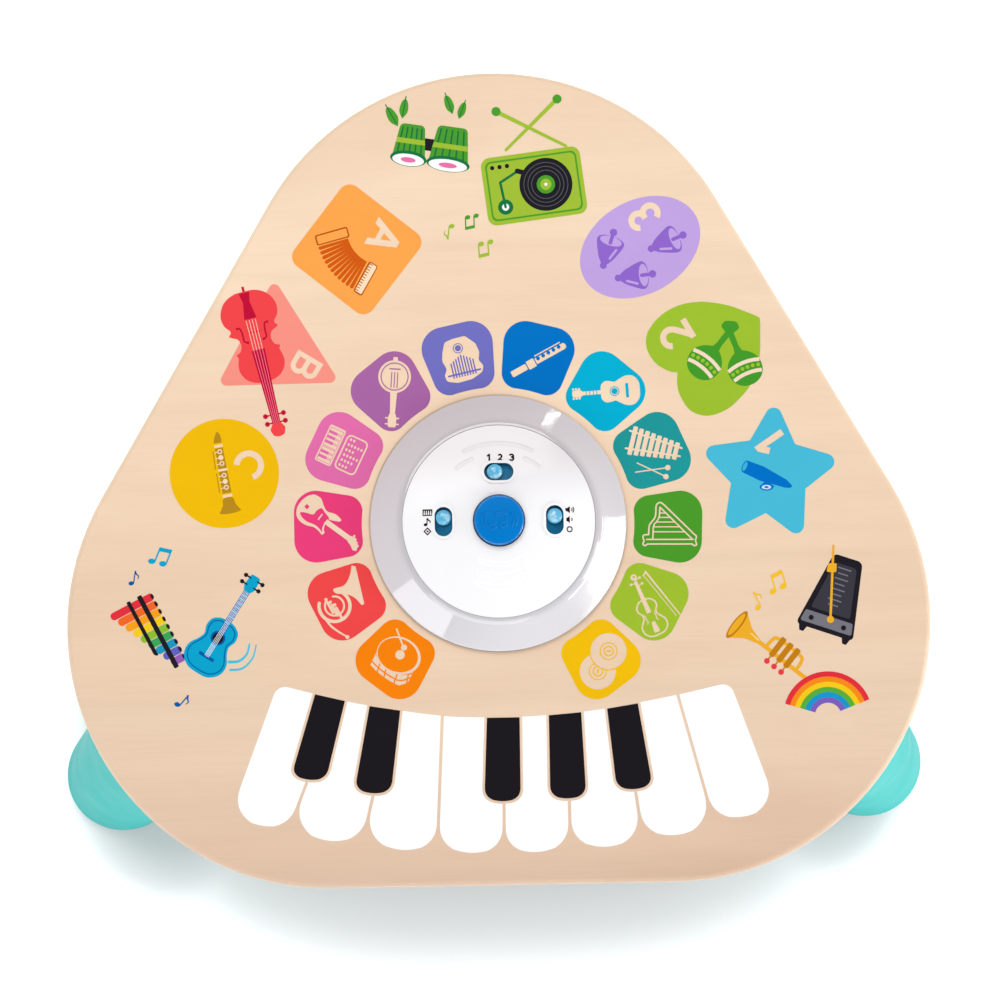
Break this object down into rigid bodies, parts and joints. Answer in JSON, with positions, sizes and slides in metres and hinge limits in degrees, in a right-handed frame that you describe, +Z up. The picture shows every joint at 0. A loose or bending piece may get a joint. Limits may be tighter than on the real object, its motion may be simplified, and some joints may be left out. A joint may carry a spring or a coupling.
{
  "type": "musical activity table",
  "caption": "Low three-legged wooden activity table for toddlers, with a raised round control unit, touch-sensitive top, sliders, a button and a battery bay below.",
  "frame": {"origin": "bottom centre of the object's bounding box, on the floor", "axes": "+Z up; +Y towards the back corner of the top, away from the piano keys; +X to the right as seen from the piano keys' side"},
  "size_m": [0.5232, 0.4766, 0.3135],
  "materials": {
    "maple_face": "clear satin lacquer over pale maple",
    "maple_under": "clear satin lacquer",
    "beech_core": "lacquered solid beech",
    "teal_paint": "semi-gloss aqua paint on turned wood",
    "teal_plastic": "semi-gloss moulded aqua plastic",
    "steel": "zinc plated",
    "rubber_pad": "matt pale grey rubber",
    "ring_plastic": "polished translucent moulding",
    "white_plastic": "satin white moulding",
    "tub_plastic": "fine textured white moulding",
    "button_blue": "polished blue moulding",
    "slider_blue": "polished translucent blue moulding",
    "black_plastic": "moulded black",
    "switch_shell": "tinned steel shell",
    "circuit_board": "green solder mask",
    "led_white": "clear resin over phosphor",
    "film_clear": "polyester film",
    "copper": "printed copper",
    "brass": "turned brass",
    "cell_wrap": "printed sleeve on steel can",
    "foam": "closed-cell foam",
    "cone_paper": "pressed paper cone",
    "ferrite": "ground ferrite and steel",
    "cable_grey": "flat ribbon insulation",
    "lead_red": "insulated wire",
    "lead_black": "insulated wire"
  },
  "bodies": {
    "root": {"top_panel": "maple_face", "bottom_panel": "maple_under", "side_rails": "beech_core", "corner_blocks": "beech_core", "center_ring": "beech_core", "touch_film": "film_clear", "touch_pads": "copper", "film_tail": "film_clear", "light_ring": "ring_plastic", "light_board": "circuit_board", "light_sources": "led_white", "light_screws": "steel", "control_cover": "white_plastic", "control_board": "circuit_board", "board_screws": "steel", "button_switch": "black_plastic", "button_spring": "steel", "slide_switches": "switch_shell", "electronics_tub": "tub_plastic", "housing_screws": "steel", "door_insert": "brass", "battery_cells": "cell_wrap", "battery_springs": "steel", "battery_plates": "steel", "speaker_gasket": "foam", "speaker_frame": "black_plastic", "speaker_cone": "cone_paper", "speaker_magnet": "ferrite", "speaker_screws": "steel", "main_board": "circuit_board", "main_board_screws": "steel", "board_parts": "black_plastic", "ribbon_cable": "cable_grey", "speaker_leads": "lead_red", "battery_leads": "lead_black", "leg_back": "teal_paint", "leg_left": "teal_paint", "leg_right": "teal_paint", "leg_sockets": "teal_plastic", "socket_screws": "steel", "leg_screws": "steel", "foot_pads": "rubber_pad"},
    "start_button": {"start_button": "button_blue"},
    "language_slider": {"language_slider": "slider_blue", "language_lever": "black_plastic"},
    "mode_slider": {"mode_slider": "slider_blue", "mode_lever": "black_plastic"},
    "volume_slider": {"volume_slider": "slider_blue", "volume_lever": "black_plastic"},
    "battery_door": {"battery_door": "tub_plastic"},
    "door_screw": {"door_screw": "steel"}
  },
  "joints": [
    {"name": "start_button_press", "type": "slide", "parent": "root", "child": "start_button", "axis": [0, 0, -1], "range_m": [0, 0.0015], "stiffness_N_per_m": 500, "springref_m": -0.002, "deforming": ["button_spring"]},
    {"name": "language_slide", "type": "slide", "parent": "root", "child": "language_slider", "axis": [1, 0, 0], "range_m": [0, 0.004]},
    {"name": "mode_slide", "type": "slide", "parent": "root", "child": "mode_slider", "axis": [0, -1, 0], "range_m": [0, 0.004]},
    {"name": "volume_slide", "type": "slide", "parent": "root", "child": "volume_slider", "axis": [0, -1, 0], "range_m": [0, 0.004]},
    {"name": "battery_door_hinge", "type": "hinge", "parent": "root", "child": "battery_door", "pos_m": [0, -0.05619, 0.2396], "axis": [1, 0, 0], "range_deg": [0, 85]},
    {"name": "door_screw_turn", "type": "hinge", "parent": "battery_door", "child": "door_screw", "pos_m": [0, -0.11259, 0.2391], "axis": [0, 0, 1], "continuous": true}
  ]
}
